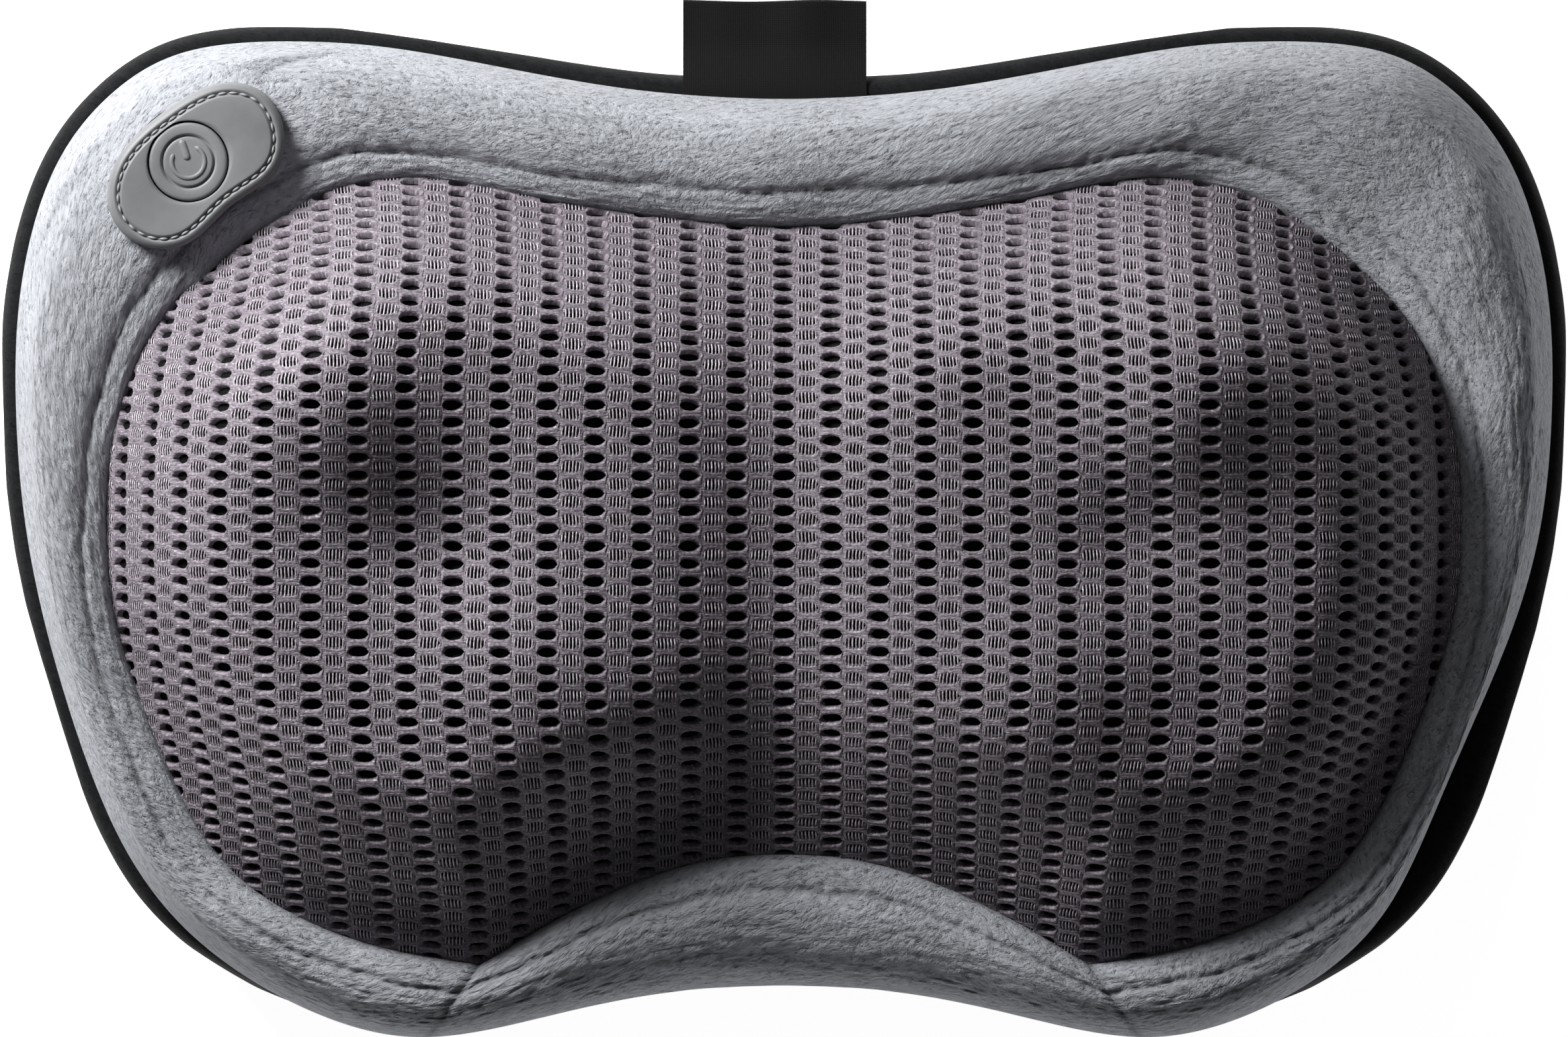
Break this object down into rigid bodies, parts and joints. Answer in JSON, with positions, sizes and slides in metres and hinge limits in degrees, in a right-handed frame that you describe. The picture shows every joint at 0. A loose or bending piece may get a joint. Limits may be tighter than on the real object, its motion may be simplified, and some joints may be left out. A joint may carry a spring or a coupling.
{
  "type": "shiatsu neck massager",
  "caption": "Pillow-shaped massager with a plush surround, an open mesh face over rotating massage heads, a button pad on one shoulder and a dark velour back.",
  "frame": {"origin": "middle of the pillow's footprint, on the flat back that it lies on", "axes": "+X to the pillow's right seen from the massage face, +Y towards the edge with the label tab, +Z out of the massage face"},
  "size_m": [0.3402, 0.2248, 0.1075],
  "materials": {
    "black_velour": "matte short pile",
    "grey_plush": "short soft pile",
    "air_mesh": "open knitted spacer mesh",
    "liner_cloth": "matte weave",
    "foam": "open-cell foam",
    "pad_rubber": "matte moulded rubber",
    "woven_label": "satin weave",
    "thread": "spun thread",
    "zip_tape": "woven tape",
    "zip_nylon": "moulded",
    "zip_metal": "satin black",
    "chassis_plastic": "fine spark texture",
    "gear_plastic": "moulded acetal",
    "arm_plastic": "moulded",
    "node_plastic": "moulded",
    "node_rubber": "soft grip",
    "steel": "ground",
    "motor_steel": "plated",
    "bronze": "sintered",
    "contact_brass": "plated",
    "circuit_board": "solder mask",
    "black_plastic": "moulded",
    "grommet_rubber": "matte",
    "wire_insulation": "vinyl",
    "lead_sheath": "vinyl",
    "lamp_lens": "translucent red",
    "light_clear": "clear moulded"
  },
  "bodies": {
    "root": {"rear_cover": "black_velour", "plush_surround": "grey_plush", "plush_lower_arch": "grey_plush", "mesh_panel": "air_mesh", "inner_liner": "liner_cloth", "foam_surround": "foam", "rear_foam": "foam", "label_tab": "woven_label", "zip_tapes": "zip_tape", "zip_teeth": "zip_nylon", "control_lead": "lead_sheath", "motor_leads": "wire_insulation", "inlet_lead": "lead_sheath", "chassis_rear_shell": "chassis_plastic", "chassis_front_plate": "chassis_plastic", "chassis_screws": "steel", "motor_can": "motor_steel", "motor_end_bell": "black_plastic", "motor_screws": "steel", "worm_end_bush": "bronze", "main_board": "circuit_board", "dc_inlet_housing": "black_plastic", "dc_inlet_pin": "contact_brass", "inlet_grommet": "grommet_rubber", "control_pad": "pad_rubber", "pad_stitches": "thread", "control_housing": "black_plastic", "control_board": "circuit_board", "tact_switch": "black_plastic", "indicator_light": "light_clear", "left_reduction_axle": "steel", "left_head_bush": "bronze", "left_spindle": "arm_plastic", "left_spindle_clip": "steel", "left_lamp_board": "circuit_board", "left_lamp_lens": "lamp_lens", "right_reduction_axle": "steel", "right_head_bush": "bronze", "right_spindle": "arm_plastic", "right_spindle_clip": "steel", "right_lamp_board": "circuit_board", "right_lamp_lens": "lamp_lens"},
    "motor_rotor": {"motor_shaft": "steel", "worm": "contact_brass"},
    "power_button": {"power_button": "pad_rubber"},
    "zip_slider": {"zip_slider": "zip_metal"},
    "left_head": {"left_output_gear": "gear_plastic", "left_head_arm": "arm_plastic", "left_node_cores": "node_plastic", "left_node_caps": "node_rubber", "left_head_screws": "steel"},
    "left_compound": {"left_compound_gear": "gear_plastic"},
    "right_head": {"right_output_gear": "gear_plastic", "right_head_arm": "arm_plastic", "right_node_cores": "node_plastic", "right_node_caps": "node_rubber", "right_head_screws": "steel"},
    "right_compound": {"right_compound_gear": "gear_plastic"}
  },
  "joints": [
    {"name": "left_head_turn", "type": "hinge", "parent": "root", "child": "left_head", "pos_m": [-0.0745, -0.005, 0.03], "axis": [0, 0, 1], "continuous": true},
    {"name": "right_head_turn", "type": "hinge", "parent": "root", "child": "right_head", "pos_m": [0.0745, -0.005, 0.03], "axis": [0, 0, 1], "continuous": true},
    {"name": "left_compound_turn", "type": "hinge", "parent": "root", "child": "left_compound", "pos_m": [-0.022, -0.005, 0.03], "axis": [0, 0, 1], "continuous": true},
    {"name": "right_compound_turn", "type": "hinge", "parent": "root", "child": "right_compound", "pos_m": [0.022, -0.005, 0.03], "axis": [0, 0, 1], "continuous": true},
    {"name": "motor_turn", "type": "hinge", "parent": "root", "child": "motor_rotor", "pos_m": [0, -0.005, 0.029], "axis": [0, 1, 0], "continuous": true},
    {"name": "button_press", "type": "slide", "parent": "root", "child": "power_button", "axis": [0, 0, -1], "range_m": [0, 0.0008], "stiffness_N_per_m": 1500, "springref_m": -0.0002},
    {"name": "zip_slide", "type": "slide", "parent": "root", "child": "zip_slider", "axis": [1, 0, 0], "range_m": [-0.194, 0]}
  ],
  "couplings": [
    {"joint": "right_head_turn", "follows": "left_head_turn", "ratio": -1},
    {"joint": "left_compound_turn", "follows": "left_head_turn", "ratio": -3.375},
    {"joint": "right_compound_turn", "follows": "left_head_turn", "ratio": 3.375},
    {"joint": "motor_turn", "follows": "left_head_turn", "ratio": 57.375}
  ]
}
